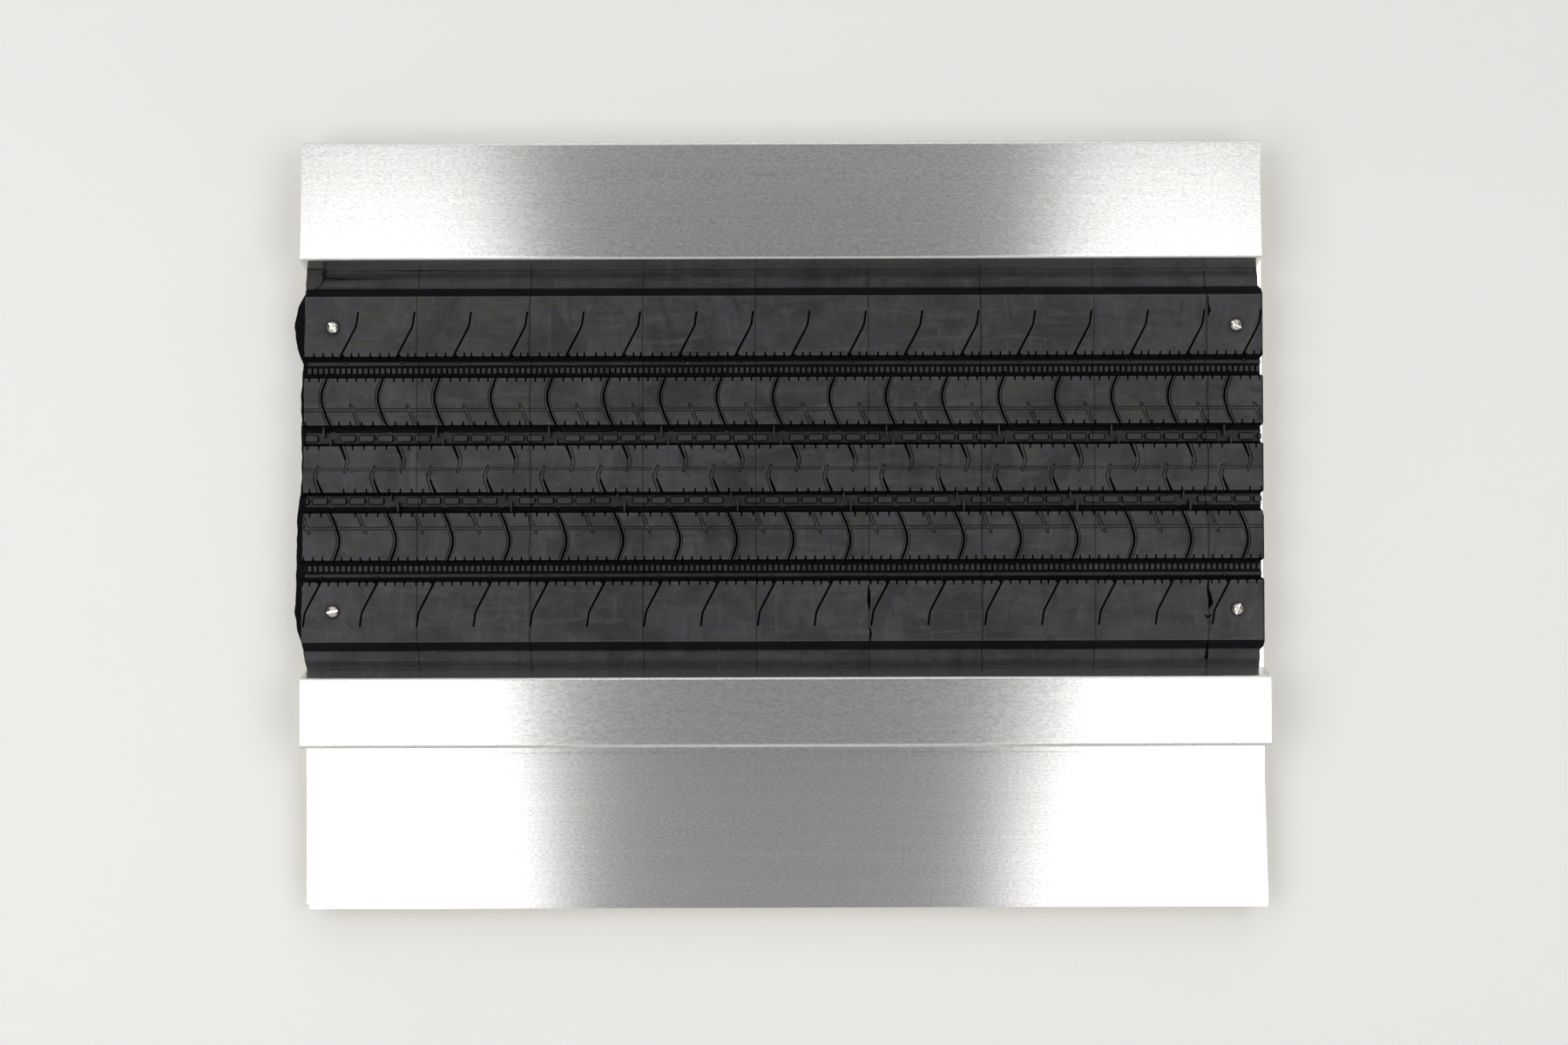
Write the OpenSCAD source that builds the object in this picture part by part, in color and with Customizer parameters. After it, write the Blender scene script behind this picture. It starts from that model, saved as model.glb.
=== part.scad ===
// Wall panel: a moulded rubber tread strip held between folded aluminium sheets.
// Millimetres, +Z up, front towards -Y, +X to the right.
// The origin is the middle of the wall rail's back face, on the wall.

/* [Panel] */
// Width of the backing sheet and of the lower rail
panel_w = 636; // [630:1:650]
// Height of the top edge above the panel's middle
top_z = 253.3; // [251:0.1:258]
// Height of the apron's lower edge, from the panel's middle
bottom_z = -253.9; // [-258:0.1:-252]
// Height of the wall rail's middle above the panel's middle
rail_height = 185; // [178:1:190]

/* [Sheet metal] */
// Thickness of the backing sheet
backing_t = 2; // [1.5:0.5:3]
// Thickness of the folded sheets and of the apron
sheet_t = 1.5; // [1:0.1:1.6]
// Bend radius at the middle of the sheet
bend_r = 2; // [1.5:0.1:2.5]

/* [Upper cover] */
// Width of the upper cover
cover_w = 632; // [600:1:636]
// Sideways shift of the upper cover
cover_shift = -2.1; // [-3:0.1:3]
// Height of the cover's lower front edge, from the panel's middle
cover_low_z = 174.6; // [174:0.1:180]
// Depth of the cover's face at its upper edge
cover_top_depth = 17; // [15:0.5:22]
// Depth of the cover's face at its lower edge
cover_low_depth = 22; // [20:0.5:25]
// How far a flange slants towards the tread
flange_slant = 4.6; // [2:0.1:5]

/* [Lower rail and apron] */
// Height of the rail's upper front edge, from the panel's middle
rail_top_z = -100.2; // [-102:0.1:-99]
// Height of the rail's lower edge, from the panel's middle
rail_low_z = -146.3; // [-148:0.1:-140]
// Depth of the rail's face in front of the backing
rail_depth = 22.5; // [20:0.5:25]
// Height of the apron's upper edge, from the panel's middle
apron_top_z = -151.5; // [-154:0.1:-151]
// How far the apron's lower right corner stands out
apron_flare = 3; // [0:0.1:4]

/* [Tread] */
// Height of the tread's middle above the panel's middle
tread_z = 37.1; // [36:0.1:38]
// Length of the tread along its ribs
tread_len = 632.7; // [600:0.1:636]
// Length of the tread that stands out to the left at its base
tread_toe = 10; // [4:0.5:12]
// Height of the ribs above the backing
rib_h = 14; // [12:0.5:16]
// Thickness of the rubber under the grooves
base_h = 3.5; // [2:0.1:5]
// Thickness of the stepped wing beside each shoulder rib
wing_h = 6; // [5.2:0.1:7]
// Length of one pitch of the pattern
pitch = 37.16; // [34:0.01:40]
// Width of the narrow sipes
sipe_w = 1.2; // [0.8:0.1:1.6]
// Depth of the sipes
sipe_depth = 8; // [4:0.5:10]

/* [Tread screws] */
// Distance from the panel's middle to each screw, sideways
screw_x = 298.3; // [290:0.1:305]
// Distance from the tread's middle to each screw, up and down
screw_v = 93.8; // [88:0.1:98]
// Diameter of the domed head
head_d = 8.6; // [7:0.1:10]
// Height of the domed head
head_h = 3.3; // [2.5:0.1:4]
// Width of the slot
slot_w = 1.3; // [0.8:0.1:1.8]
// Depth of the slot
slot_depth = 1.9; // [1:0.1:2.2]
// Diameter of the shank
shank_d = 4.8; // [4:0.1:5]

/* [Rear frame] */
// Thickness of the wooden strips
frame_t = 12; // [10:0.5:16]
// Width of each upright strip
stile_w = 40; // [34:1:50]
// Width of each cross strip
batten_w = 40; // [34:1:44]

/* [Hanging rails] */
// Length of the wall rail
wall_rail_l = 500; // [480:5:540]
// Length of the hanger rail
hanger_l = 480; // [440:5:500]
// Thickness of the Z rails
clip_t = 2; // [1.6:0.1:2.2]
// Height of the hooking lips
lip_h = 12; // [8:1:13]
// Height of the flat webs
web_h = 24; // [22:1:26]
// Distance between the holes in the wall rail
wall_hole_gap = 140; // [100:5:150]
// Diameter of the holes in the wall rail
wall_hole_d = 5; // [4:0.5:6]

/* [Hidden] */
$fn = 48;
bend_steps = 8;

// Depths from the wall, all towards -Y
clip_gap = 0.3;
clip_depth = 2 * clip_t + 1;
backing_back = clip_depth + frame_t;
face_y = -(backing_back + backing_t);
cut = 1;

// Rear frame, in heights from the panel's middle
frame_w = panel_w - 4;
frame_top = top_z - sheet_t;
frame_low = bottom_z + 4;
inner_x = frame_w / 2 - stile_w;
top_batten_h = 52;
lower_batten_z = rail_low_z - 12;
bottom_batten_z = frame_low + batten_w / 2;

// Small hardware: shank, head and clearance of the hidden screws
small_d = 3.5;
small_head_d = 7;
small_head_h = 1.8;
hole_play = 0.1;
screw_gap = 0.2;

// Tread cross-section, measured from the tread's middle
shoulder_out = 114.3;
shoulder_in = 74.5;
rib2_out = 60.2;
rib2_in = 29.1;
rib3_half = 15.3;
slope_foot = 120.4;
wing_step = 128;
wing_end = 134.5;
wall_draft = 1.8;
tread_pitches = 18;
seam_x = -19.7;
lower_shift = -2.6;
centre_shift = -1.2;
insert_d = 8;
insert_bore = shank_d + 0.1;

// Screw slots, as angles from the horizontal: upper left, upper right, lower left, lower right
slot_angles = [-54, -34.6, 12.5, 68.5];

// The left end of the base, roughly cut: height above the panel's middle, share of the toe
toe_shape = [[171.6, 0.1], [157, 0.15], [146, 0.75], [132, 1], [118, 0.8], [108, 0.4], [88, 0.55],
    [30, 0.5], [7, 0.8], [-20, 0.85], [-46, 0.9], [-58, 0.97], [-70, 0.8], [-82, 0.35], [-97.4, 0.1]];

// ---------- helpers ----------

// Puts panel shapes in place: x sideways, y minus the depth before the backing, z from the middle
module on_panel() {
    translate([0, face_y, -rail_height]) children();
}

// The turn of a sheet's middle line at point i, and how far from that point its bend begins
function leg_angle(a, b) = atan2(b[1] - a[1], b[0] - a[0]);
function turn(path, i) =
    let (d = leg_angle(path[i], path[i + 1]) - leg_angle(path[i - 1], path[i]))
    d > 180 ? d - 360 : d < -180 ? d + 360 : d;
function tangent(path, i) = bend_r * tan(abs(turn(path, i)) / 2);

// Points along one side of a folded sheet: side is 1 for the left of the path, -1 for the right
function unit(angle) = [cos(angle), sin(angle)];
function side_offset(a, b, side) = side * sheet_t / 2 * unit(leg_angle(a, b) + 90);
function bend_points(path, i, side) =
    let (way = sign(turn(path, i)), start = leg_angle(path[i - 1], path[i]) - way * 90,
        centre = path[i] - tangent(path, i) * unit(start + way * 90) - bend_r * unit(start))
    [for (k = [0 : bend_steps])
        centre + (bend_r - side * way * sheet_t / 2) * unit(start + turn(path, i) * k / bend_steps)];
function sheet_side(path, side) =
    let (n = len(path) - 1)
    concat([path[0] + side_offset(path[0], path[1], side)],
        [for (i = [1 : 1 : n - 1], p = bend_points(path, i, side)) p],
        [path[n] + side_offset(path[n - 1], path[n], side)]);
function reversed(list) = [for (i = [len(list) - 1 : -1 : 0]) list[i]];

// A folded sheet of width w whose middle line follows path, drawn as [y, z]
module folded_sheet(path, w, shift = 0) {
    translate([shift - w / 2, 0, 0])
        rotate([90, 0, 90])
            linear_extrude(w)
                polygon(concat(sheet_side(path, 1), reversed(sheet_side(path, -1))));
}

// A flat plate seen from the front: outline as [x, z], back face at depth 0
module plate(thickness) {
    rotate([90, 0, 0]) linear_extrude(thickness) children();
}

// A plain upright strip from [x0, z0] to [x1, z1], between two depths from the wall
module strip(x0, z0, x1, z1, y_back = clip_depth, y_front = backing_back) {
    translate([x0, -y_front, z0 - rail_height])
        cube([x1 - x0, y_front - y_back, z1 - z0]);
}

// A countersunk wood screw along -Z, its flat head flush with z = 0
module countersunk(length, play = 0) {
    cylinder(h = small_head_h + play, d1 = small_d + 2 * play, d2 = small_head_d + 2 * play);
    translate([0, 0, -length - play])
        cylinder(h = length + play, d = small_d + 2 * play);
}

// A countersunk screw entering a face that looks towards -Y, at height z from the panel's middle
module front_screw(x, z, depth, length, play = 0) {
    translate([x, face_y - depth, z - rail_height])
        rotate([90, 0, 0])
            translate([0, 0, -small_head_h])
                countersunk(length, play);
}

// A pan-head screw along -Z with its seat at z = 0 and a cross-shaped recess
module pan_screw(length) {
    difference() {
        union() {
            intersection() {
                cylinder(h = small_head_h, d = small_head_d);
                translate([0, 0, small_head_h - small_head_d]) sphere(small_head_d);
            }
            translate([0, 0, -length]) cylinder(h = length, d = small_d);
        }
        for (a = [0, 90])
            rotate(a) translate([-2, -0.5, small_head_h - 1]) cube([4, 1, 2]);
    }
}

// ---------- positions shared by screws and their holes ----------

screw_spots = [[-screw_x, tread_z + screw_v], [screw_x, tread_z + screw_v],
    [-screw_x, tread_z - screw_v], [screw_x, tread_z - screw_v]];
backing_screw_spots = [for (x = [-frame_w / 2 + 18, -150, 150, frame_w / 2 - 18], z = [-238, 232]) [x, z]];
rail_screw_x = [for (i = [-2 : 2]) i * 120];
rail_screw_z = rail_low_z - 13;
cover_screw_x = [-240, 0, 240];
hanger_screw_x = [-180, -60, 60, 180];
frame_screw_z = [frame_top - top_batten_h / 2, lower_batten_z, bottom_batten_z];
cover_screw_y = -(clip_depth + frame_t / 2);

// ---------- hanging rails ----------

// Z rail profile as [y, z]: web on the wall, shelf, and a lip that stands clear of it
module z_profile(web, jog) {
    polygon([[0, -web / 2], [0, web / 2], [-jog, web / 2], [-jog, web / 2 + lip_h],
        [-jog - clip_t, web / 2 + lip_h], [-jog - clip_t, web / 2 - clip_t],
        [-clip_t, web / 2 - clip_t], [-clip_t, -web / 2]]);
}

module along_x(length) {
    translate([-length / 2, 0, 0]) rotate([90, 0, 90]) linear_extrude(length) children();
}

module wall_rail() {
    color("silver")
        difference() {
            along_x(wall_rail_l) z_profile(web_h, clip_t + 2 * clip_gap);
            for (i = [-1.5 : 1.5])
                translate([i * wall_hole_gap, cut, 0])
                    rotate([90, 0, 0]) cylinder(h = clip_t + 2 * cut, d = wall_hole_d);
        }
}

// The hanger is the same profile turned over: its lip drops behind the wall rail's lip
hanger_lip_z = web_h / 2;
hanger_shelf_z = hanger_lip_z + lip_h + 0.5;
hanger_web_h = 22;
hanger_screw_z = hanger_shelf_z + clip_t + hanger_web_h / 2;

module hanger_rail() {
    y0 = -clip_gap;
    y1 = -clip_depth;
    color("silver")
        difference() {
            along_x(hanger_l)
                polygon([[y0, hanger_lip_z], [y0, hanger_shelf_z + clip_t],
                    [y1 + clip_t, hanger_shelf_z + clip_t],
                    [y1 + clip_t, hanger_shelf_z + clip_t + hanger_web_h],
                    [y1, hanger_shelf_z + clip_t + hanger_web_h], [y1, hanger_shelf_z],
                    [y0 - clip_t, hanger_shelf_z], [y0 - clip_t, hanger_lip_z]]);
            for (x = hanger_screw_x)
                translate([x, 0, hanger_screw_z])
                    rotate([90, 0, 0]) cylinder(h = clip_depth + cut, d = small_d + 2 * hole_play);
        }
}

// Pan-head screws, from the back into the top batten
module hanger_screws() {
    color("silver")
        for (x = hanger_screw_x)
            translate([x, -clip_depth + clip_t, hanger_screw_z])
                rotate([-90, 0, 0]) pan_screw(11);
}

// ---------- rear frame ----------

module screw_hole_back(x, z) {
    translate([x, -clip_depth + cut, z])
        rotate([90, 0, 0]) cylinder(h = 11 + cut, d = small_d + 2 * hole_play);
}

module top_batten() {
    color("burlywood")
        difference() {
            strip(-inner_x, frame_top - top_batten_h, inner_x, frame_top);
            for (x = hanger_screw_x) screw_hole_back(x, hanger_screw_z);
            for (x = cover_screw_x)
                translate([x, cover_screw_y, frame_top - rail_height - 16])
                    cylinder(h = 16 + cut, d = small_d + 2 * hole_play);
            backing_holes();
            frame_holes();
        }
}

module lower_batten() {
    color("burlywood")
        difference() {
            strip(-inner_x, lower_batten_z - batten_w / 2, inner_x, lower_batten_z + batten_w / 2);
            rail_holes();
            frame_holes();
        }
}

module bottom_batten() {
    color("burlywood")
        difference() {
            strip(-inner_x, frame_low, inner_x, frame_low + batten_w);
            backing_holes();
            frame_holes();
        }
}

// One upright strip; side is -1 for the left and 1 for the right
module stile(side) {
    color("burlywood")
        difference() {
            strip(side < 0 ? -frame_w / 2 : inner_x, frame_low,
                side < 0 ? -inner_x : frame_w / 2, frame_top);
            for (s = screw_spots)
                translate([s[0], -clip_depth + cut, s[1] - rail_height])
                    rotate([90, 0, 0]) cylinder(h = frame_t + 2 * cut, d = insert_d);
            backing_holes();
            rail_holes();
            frame_holes();
        }
}

module left_stile() {
    stile(-1);
}

module right_stile() {
    stile(1);
}

module frame_screw_set(play = 0) {
    for (side = [-1, 1], z = frame_screw_z)
        translate([side * frame_w / 2, -(clip_depth + frame_t / 2), z - rail_height])
            rotate([0, side * 90, 0])
                translate([0, 0, -small_head_h]) countersunk(stile_w + 25, play);
}

module frame_holes() {
    frame_screw_set(hole_play);
}

module frame_screws() {
    color("goldenrod") frame_screw_set();
}

// Felt discs under the lower ends of the stiles
module wall_bumpers() {
    color("dimgray")
        for (side = [-1, 1])
            translate([side * (frame_w / 2 - stile_w / 2), -clip_depth, frame_low + 50 - rail_height])
                rotate([-90, 0, 0])
                    difference() {
                        cylinder(h = clip_depth, d = 22);
                        translate([0, 0, clip_depth - 0.8])
                            rotate_extrude() translate([11, 0]) polygon([[0, 0.8], [-0.8, 0.8], [0, 0]]);
                    }
}

// ---------- backing sheet ----------

module backing_holes() {
    for (s = backing_screw_spots) front_screw(s[0], s[1], 0, backing_t + 9, hole_play);
}

module rail_holes() {
    for (x = rail_screw_x) front_screw(x, rail_screw_z, sheet_t, sheet_t + backing_t + 8, hole_play);
}

module backing_sheet() {
    color("gainsboro")
        difference() {
            on_panel()
                translate([0, backing_t, 0])
                    plate(backing_t)
                        translate([-panel_w / 2, frame_low - 1]) square([panel_w, frame_top - frame_low + 1]);
            for (s = screw_spots)
                translate([s[0], face_y - cut, s[1] - rail_height])
                    rotate([-90, 0, 0]) cylinder(h = backing_t + 2 * cut, d = shank_d + 2 * screw_gap);
            backing_holes();
            rail_holes();
        }
}

module backing_screws() {
    color("silver")
        for (s = backing_screw_spots) front_screw(s[0], s[1], 0, backing_t + 8);
}

// ---------- rubber tread ----------

// Cross-section as [height from the tread's middle, height above the backing], one half
tread_half = [[0, 0], [wing_end, 0], [wing_end, base_h], [wing_step, base_h], [wing_step - 0.6, wing_h],
    [slope_foot, wing_h], [shoulder_out, rib_h], [shoulder_in, rib_h], [shoulder_in - wall_draft, base_h],
    [rib2_out + wall_draft, base_h], [rib2_out, rib_h], [rib2_in, rib_h], [rib2_in - wall_draft, base_h],
    [rib3_half + wall_draft, base_h], [rib3_half, rib_h], [0, rib_h]];

module tread_body() {
    right = tread_len - panel_w / 2 + 1.5;
    translate([right - tread_len, 0, tread_z])
        rotate([90, 0, 90])
            linear_extrude(tread_len)
                union() {
                    polygon([for (p = tread_half) [-p[1], p[0]]]);
                    polygon([for (p = tread_half) [-p[1], -p[0]]]);
                }
}

// The base runs on past the ribs at the left, to a rough edge
module tread_toe_slab() {
    x0 = -panel_w / 2 + 1.5;
    plate(base_h)
        polygon(concat([for (p = toe_shape) [x0 - tread_toe * p[1], p[0]]],
            [[x0 + 2, toe_shape[len(toe_shape) - 1][0]], [x0 + 2, toe_shape[0][0]]]));
}

// A groove of constant width along a list of points [x, v]
module sipe(points, w = sipe_w) {
    n = len(points) - 1;
    up = [for (i = [0 : n]) points[i] + w / 2 * sipe_side(points, i)];
    down = [for (i = [n : -1 : 0]) points[i] - w / 2 * sipe_side(points, i)];
    polygon(concat(up, down));
}

function sipe_side(points, i) =
    let (a = points[max(i - 1, 0)], b = points[min(i + 1, len(points) - 1)], d = (b - a) / norm(b - a))
    [-d[1], d[0]];

// The sipes of one pitch of the upper half: shoulder rib, second rib with its half sipe, centre rib
over = 1.5;
shoulder_sipe = [[-1.6, 103.6], [-2.8, 95.2], [-13.4 - over / 2, shoulder_in - over]];
main_sipe = [[15.9, rib2_out + over], [13.2, 54.5], [11.4, 49], [11.4, 45], [12.3, 41], [14.4, 35],
    [17.9, rib2_in - over]];
half_sipe = [[-4.3, 39], [-1, rib2_in - over]];
centre_sipe = [[-12.9, rib3_half + over], [-8.6, 4.9], [-10.8, -2.4]];

module half_sipes(centre) {
    for (k = [-tread_pitches / 2 : tread_pitches / 2])
        translate([k * pitch, 0]) {
            sipe(shoulder_sipe);
            sipe(main_sipe, 2 * sipe_w - 0.3);
            sipe(half_sipe, 1.5 * sipe_w);
            translate([centre, 0]) sipe(centre_sipe, 1.6 * sipe_w);
        }
}

module tread_sipes() {
    translate([seam_x, tread_z]) {
        half_sipes(0);
        translate([lower_shift, 0]) rotate(180) half_sipes(-centre_shift + lower_shift);
    }
}

// Rounded rubber blocks in the two middle grooves: five for every two pitches
block_l = 9.7;
block_w = 4;
block_h = 3.1;
block_v = 20.8;

module groove_blocks() {
    for (g = [-4 : 3], i = [0 : 4])
        translate([g * 2 * pitch + 22.6 + i * pitch / 3 + block_l / 2, block_v])
            square([block_l, block_w], center = true);
}

module tread_blocks() {
    translate([0, -base_h, 0])
        plate(block_h)
            intersection() {
                translate([seam_x, tread_z]) {
                    groove_blocks();
                    rotate(180) groove_blocks();
                }
                square([tread_len - 4, 400], center = true);
            }
}

module rubber_tread() {
    color("#46444a")
        on_panel()
            difference() {
                union() {
                    tread_body();
                    tread_toe_slab();
                    tread_blocks();
                }
                translate([0, sipe_depth - rib_h, 0]) plate(sipe_depth + cut) tread_sipes();
                for (s = screw_spots)
                    translate([s[0], cut, s[1]])
                        rotate([90, 0, 0]) cylinder(h = rib_h + 2 * cut, d = shank_d + 2 * screw_gap);
            }
}

// ---------- tread screws ----------

module tread_inserts() {
    color("goldenrod")
        for (s = screw_spots)
            translate([s[0], -clip_depth, s[1] - rail_height])
                rotate([90, 0, 0])
                    difference() {
                        cylinder(h = frame_t, d = insert_d);
                        translate([0, 0, -cut]) cylinder(h = frame_t + 2 * cut, d = insert_bore);
                    }
}

// Dome of the head: a cap of height head_h on a circle of diameter head_d
dome_r = (head_d * head_d / 4 + head_h * head_h) / (2 * head_h);
shank_l = rib_h + backing_t + frame_t - 2;

module tread_screw(i) {
    s = screw_spots[i];
    color("darkgray")
        translate([s[0], face_y - rib_h, s[1] - rail_height])
            rotate([90, 0, 0])
                difference() {
                    union() {
                        intersection() {
                            translate([0, 0, head_h - dome_r]) sphere(dome_r);
                            cylinder(h = head_h + cut, d = head_d);
                        }
                        translate([0, 0, -shank_l]) cylinder(h = shank_l + cut, d = shank_d);
                    }
                    rotate(slot_angles[i])
                        translate([-head_d, -slot_w / 2, head_h - slot_depth])
                            cube([2 * head_d, slot_w, slot_depth + cut]);
                }
}

// ---------- folded aluminium ----------

// Depth at which a flange ends, just in front of the wing of the tread
flange_end = base_h + 0.9;
half_t = sheet_t / 2;

module upper_cover() {
    path = [[backing_back + backing_t - clip_depth - 2, top_z - half_t],
        [half_t - cover_top_depth, top_z - half_t],
        [half_t - cover_low_depth, cover_low_z + half_t],
        [-flange_end, cover_low_z + half_t - flange_slant]];
    color("gainsboro")
        difference() {
            on_panel() folded_sheet(path, cover_w, cover_shift);
            for (x = cover_screw_x)
                translate([x, cover_screw_y, frame_top - rail_height - cut])
                    cylinder(h = sheet_t + 2 * cut, d = small_d + 2 * hole_play);
        }
}

module cover_screws() {
    color("silver")
        for (x = cover_screw_x)
            translate([x, cover_screw_y, top_z - rail_height]) pan_screw(16);
}

module rail_cover() {
    foot_end = rail_low_z - 20;
    path = [[-flange_end, rail_top_z - half_t + flange_slant],
        [half_t - rail_depth, rail_top_z - half_t],
        [half_t - rail_depth, rail_low_z + half_t],
        [-half_t, rail_low_z + half_t],
        [-half_t, foot_end]];
    color("gainsboro")
        difference() {
            on_panel() folded_sheet(path, panel_w);
            rail_holes();
        }
}

module rail_screws() {
    color("silver")
        for (x = rail_screw_x)
            front_screw(x, rail_screw_z, sheet_t, sheet_t + backing_t + 7);
}

module apron_sheet() {
    left = -panel_w / 2;
    right = panel_w / 2;
    color("gainsboro")
        on_panel()
            translate([0, -sheet_t, 0])
                plate(sheet_t)
                    polygon([[left + 1, apron_top_z], [right - 0.8, apron_top_z],
                        [right - 0.8 + apron_flare - 0.6, bottom_z + 0.8],
                        [right - 0.8 + apron_flare - 1.3, bottom_z],
                        [left + 3, bottom_z], [left + 2.3, bottom_z + 0.8]]);
}

// Foam tape between the backing and the apron
module apron_tape() {
    color("white")
        on_panel()
            for (z = [rail_low_z - 50, frame_low + 3])
                plate(sheet_t)
                    translate([-panel_w / 2 + 6, z]) square([panel_w - 12, 19]);
}

wall_rail();
hanger_rail();
hanger_screws();
top_batten();
lower_batten();
bottom_batten();
left_stile();
right_stile();
frame_screws();
wall_bumpers();
backing_sheet();
backing_screws();
rubber_tread();
tread_inserts();
tread_screw(0);  // tread_screw_1
tread_screw(1);  // tread_screw_2
tread_screw(2);  // tread_screw_3
tread_screw(3);  // tread_screw_4
upper_cover();
cover_screws();
rail_cover();
rail_screws();
apron_sheet();
apron_tape();
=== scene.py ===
"""Looks of a wall panel: a strip of moulded tyre tread held by folded aluminium sheets."""
import math
import random

import bpy
import numpy as np
from mathutils import Matrix, Vector
from mathutils.geometry import delaunay_2d_cdt


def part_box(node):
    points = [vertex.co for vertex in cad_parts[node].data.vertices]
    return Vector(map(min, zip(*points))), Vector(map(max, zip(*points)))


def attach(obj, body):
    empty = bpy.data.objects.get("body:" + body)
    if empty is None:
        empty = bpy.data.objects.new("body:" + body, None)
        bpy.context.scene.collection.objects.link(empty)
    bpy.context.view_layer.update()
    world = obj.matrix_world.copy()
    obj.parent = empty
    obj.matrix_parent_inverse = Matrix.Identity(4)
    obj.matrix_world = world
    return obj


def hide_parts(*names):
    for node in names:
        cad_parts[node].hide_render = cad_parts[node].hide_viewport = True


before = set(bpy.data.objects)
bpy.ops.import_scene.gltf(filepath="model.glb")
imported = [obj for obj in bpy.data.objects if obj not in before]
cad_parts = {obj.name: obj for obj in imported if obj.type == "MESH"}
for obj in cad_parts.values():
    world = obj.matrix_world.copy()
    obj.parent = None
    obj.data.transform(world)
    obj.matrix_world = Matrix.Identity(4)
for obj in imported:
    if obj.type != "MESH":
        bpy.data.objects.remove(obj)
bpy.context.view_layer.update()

MM = 0.001
chance = random.Random(11)

# Where the CAD puts things: the backing's front face, the tread's middle and its two ends
face_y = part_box("backing_sheet")[0].y
tread_low, tread_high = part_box("rubber_tread")
tread_z = (tread_low.z + tread_high.z) / 2
panel_z = (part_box("upper_cover")[1].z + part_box("apron_sheet")[0].z) / 2
right_end = tread_high.x / MM
tread_length = 632.7
rib_left = right_end - tread_length
screw_spots = [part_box("tread_screw_%d" % i) for i in (1, 2, 3, 4)]
screw_spots = [((a.x + b.x) / 2 / MM, ((a.z + b.z) / 2 - tread_z) / MM) for a, b in screw_spots]


# ------------------------------------------------------------------ tread pattern, in millimetres
# x runs along the ribs, v up from the tread's middle, h out from the backing.
pitch = 37.27
seam_x = -19.05
seam_gap = 2 * pitch
low_drift = 0.2
rib_top = 14.0
edge_drop = 0.25
edge_in = 0.35
floor_h = 3.4
back_h = 0.05
wing_top = 6.0
steep = 0.06

rib3_edge = 15.3
rib2_in, rib2_out = 29.1, 60.2
rib1_in, rib1_out = 74.5, 114.3
slope_foot = 120.4
wing_edge = 127.4
tread_edge = 134.5
wall_run = 1.8
plateau = (17.5, 24.6)
plateau_h = 4.7
ledge = (69.3, 71.4)
ledge_h = 5.0
block_row = (63.7, 67.6)

# Lightness of the rubber, 1 on the rib tops: partly dust, which lies on the worn tops and not in the
# clean depths, and partly painted shade, low on the walls, slopes and groove floors; rim_tone above 1 is
# a lighter line along the rib edges, partly dusty worn edges and partly a painted highlight
top_tone, rim_tone, block_tone, wing_tone = 1.0, 1.35, 0.85, 0.95
edge_tone, flap_tone, plateau_tone, ledge_tone = 0.62, 0.5, 0.36, 0.42
wall_tone, deep_tone, sawn_tone = 0.12, 0.08, 0.02
# Faces below this tone take the duller rubber
cut_tone = 0.22
rim_width = 1.3

# Half of the cross-section, from the middle outwards: v, h and tone
profile = [
    (0, rib_top, top_tone),
    (rib3_edge - rim_width, rib_top, top_tone),
    (rib3_edge - edge_in, rib_top, rim_tone),
    (rib3_edge, rib_top - edge_drop, wall_tone),
    (rib3_edge + wall_run, floor_h, deep_tone),
    (plateau[0], plateau_h, plateau_tone),
    (plateau[1], plateau_h, plateau_tone),
    (plateau[1] + 0.4, floor_h, deep_tone),
    (rib2_in - wall_run, floor_h, deep_tone),
    (rib2_in, rib_top - edge_drop, wall_tone),
    (rib2_in + edge_in, rib_top, rim_tone),
    (rib2_in + rim_width, rib_top, top_tone),
    (rib2_out - rim_width, rib_top, top_tone),
    (rib2_out - edge_in, rib_top, rim_tone),
    (rib2_out, rib_top - edge_drop, wall_tone),
    (rib2_out + wall_run, floor_h, deep_tone),
    (ledge[0] - 0.3, floor_h, deep_tone),
    (ledge[0], ledge_h, ledge_tone),
    (ledge[1], ledge_h, ledge_tone),
    (ledge[1] + 0.3, floor_h + 0.3, deep_tone),
    (rib1_in - wall_run, floor_h + 0.3, deep_tone),
    (rib1_in, rib_top - edge_drop, wall_tone),
    (rib1_in + edge_in, rib_top, rim_tone),
    (rib1_in + rim_width, rib_top, top_tone),
    (rib1_out - rim_width, rib_top, top_tone),
    (rib1_out - edge_in, rib_top, rim_tone),
    (rib1_out, rib_top - edge_drop, wall_tone),
    (slope_foot - 0.4, wing_top + 0.4, wall_tone),
    (slope_foot + 0.6, wing_top + 0.15, wing_tone),
    (wing_edge - 1.6, wing_top + 0.1, wing_tone),
    # Painted shade: the wing turns darker towards its outer edge, under the cover's flange
    (wing_edge - 0.4, wing_top - 0.12, 0.9 * wing_tone),
    (wing_edge + 0.8, wing_top - 0.75, 0.72),
    (wing_edge + 2.2, floor_h + 0.95, edge_tone),
    (wing_edge + 3.6, floor_h + 0.35, edge_tone),
    (tread_edge, floor_h + 0.1, edge_tone),
]
profile_v = np.array([p[0] for p in profile])
profile_h = np.array([p[1] for p in profile])
profile_tone = np.array([p[2] for p in profile])


def rough_end(name):
    """The rough left edge of the tread's base: x for a given v, read from the CAD solid."""
    co = np.array([p.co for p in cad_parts[name].data.vertices])
    x = co[:, 0] / MM
    v = (co[:, 2] - tread_z) / MM
    far = x < rib_left - 0.2
    order = np.argsort(v[far])
    return v[far][order], x[far][order]


toe_v, toe_x = rough_end("rubber_tread")
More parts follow.
